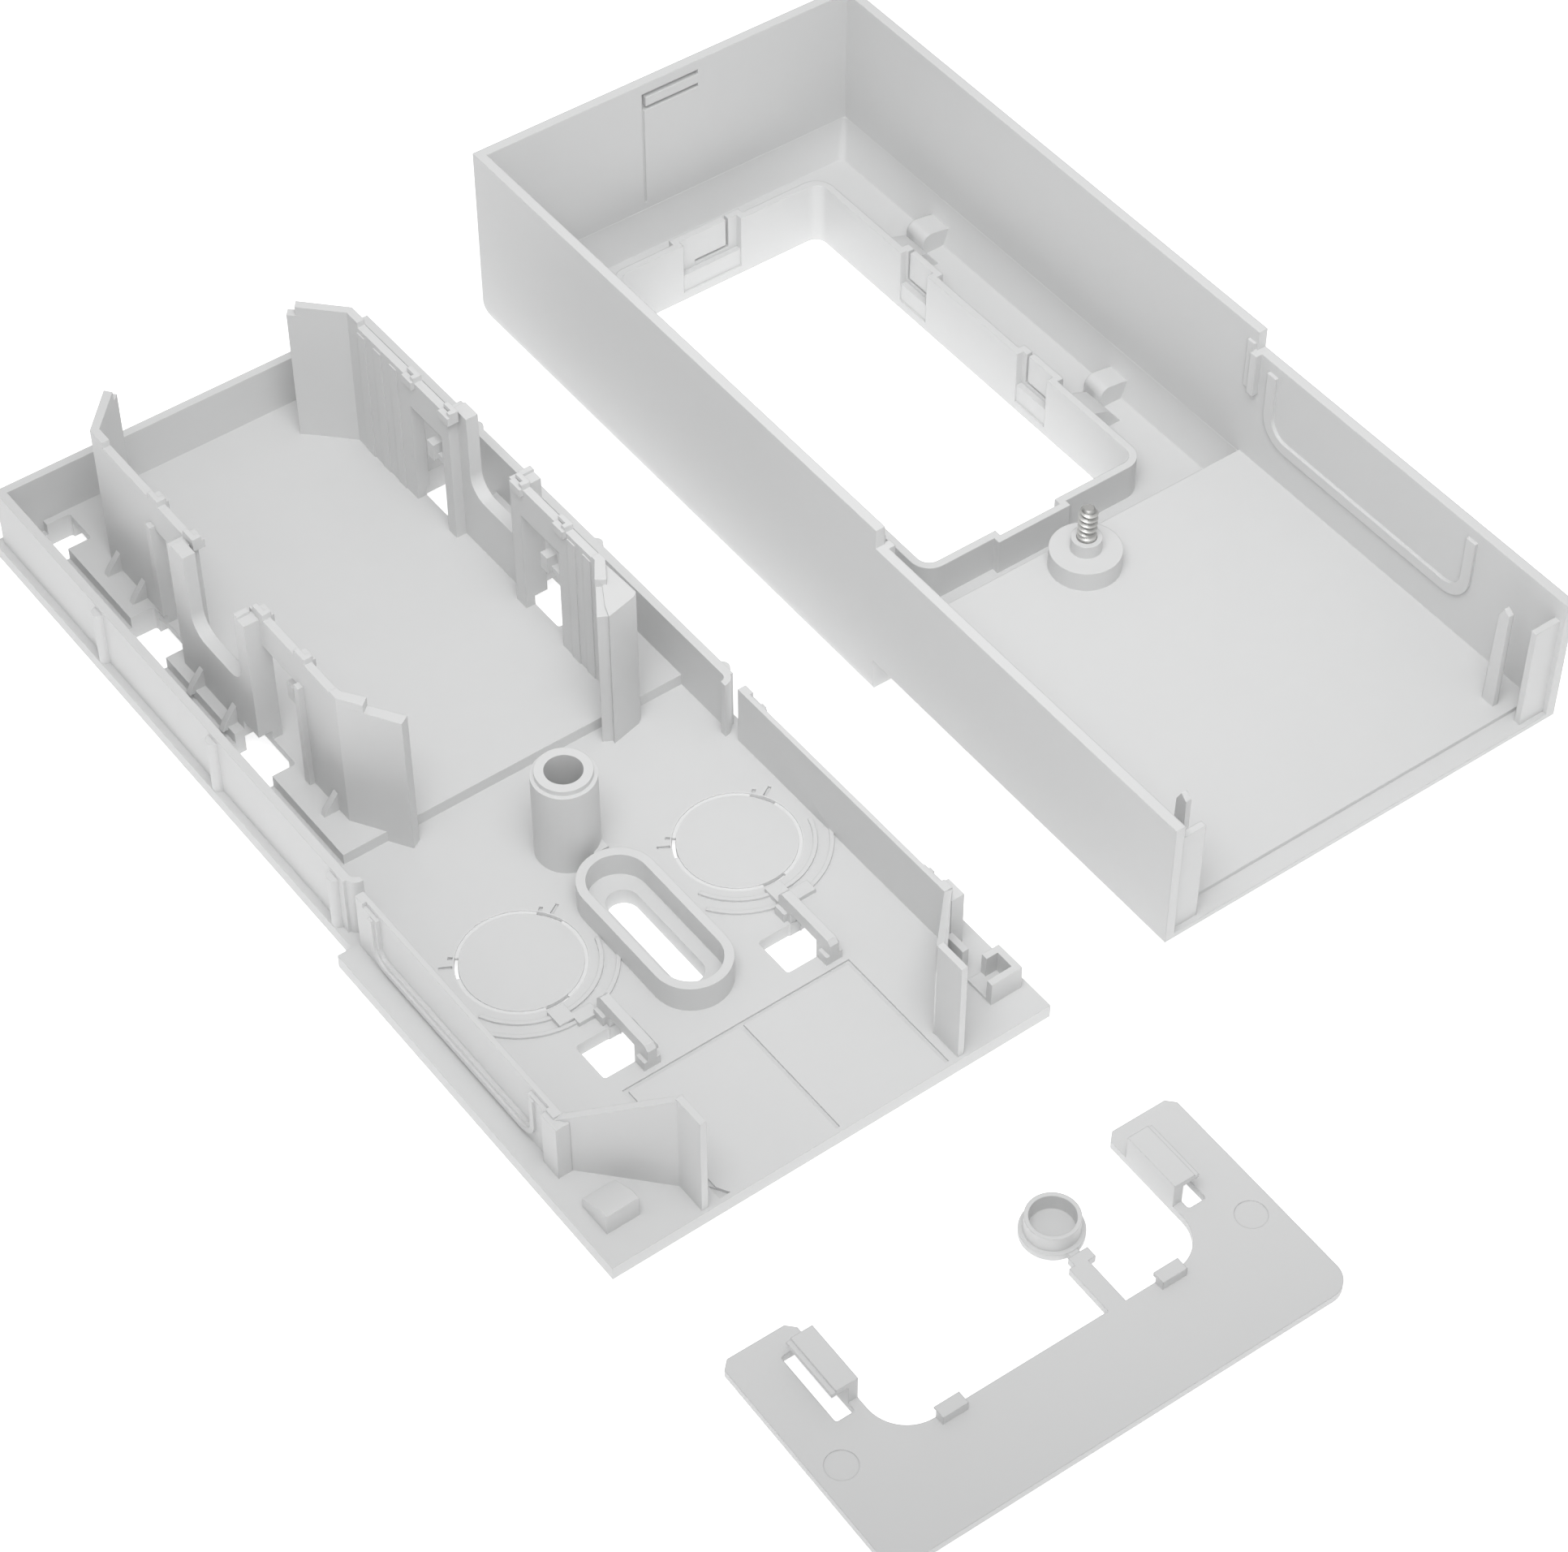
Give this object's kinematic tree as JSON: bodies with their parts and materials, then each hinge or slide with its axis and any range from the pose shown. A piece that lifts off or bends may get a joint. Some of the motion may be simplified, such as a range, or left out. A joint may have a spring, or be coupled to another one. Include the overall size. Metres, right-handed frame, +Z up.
{
  "type": "socket mounting base",
  "caption": "Surface-mount base for a double socket: tray with insert holders and knock-outs, upturned cover hood with captive screw, and U-shaped closing plate.",
  "frame": {"origin": "on the tray's underside, below the crossing of its centre line and its cross score line", "axes": "+X across the tray towards the cover, +Y along the tray from the cable end to the socket end, +Z up"},
  "size_m": [0.1858, 0.2576, 0.042],
  "materials": {
    "moulded_plastic": "fine satin, light grey-white",
    "screw_steel": "bright zinc"
  },
  "bodies": {
    "set": {"mounting_base": "moulded_plastic", "cover_hood": "moulded_plastic", "closing_plate": "moulded_plastic"},
    "screw": {"cover_screw": "screw_steel"}
  },
  "joints": [
    {"name": "screw_turn", "type": "hinge", "parent": "set", "child": "screw", "pos_m": [0.10119, 0.03796, 0.017], "axis": [0, 0, 1], "continuous": true}
  ]
}
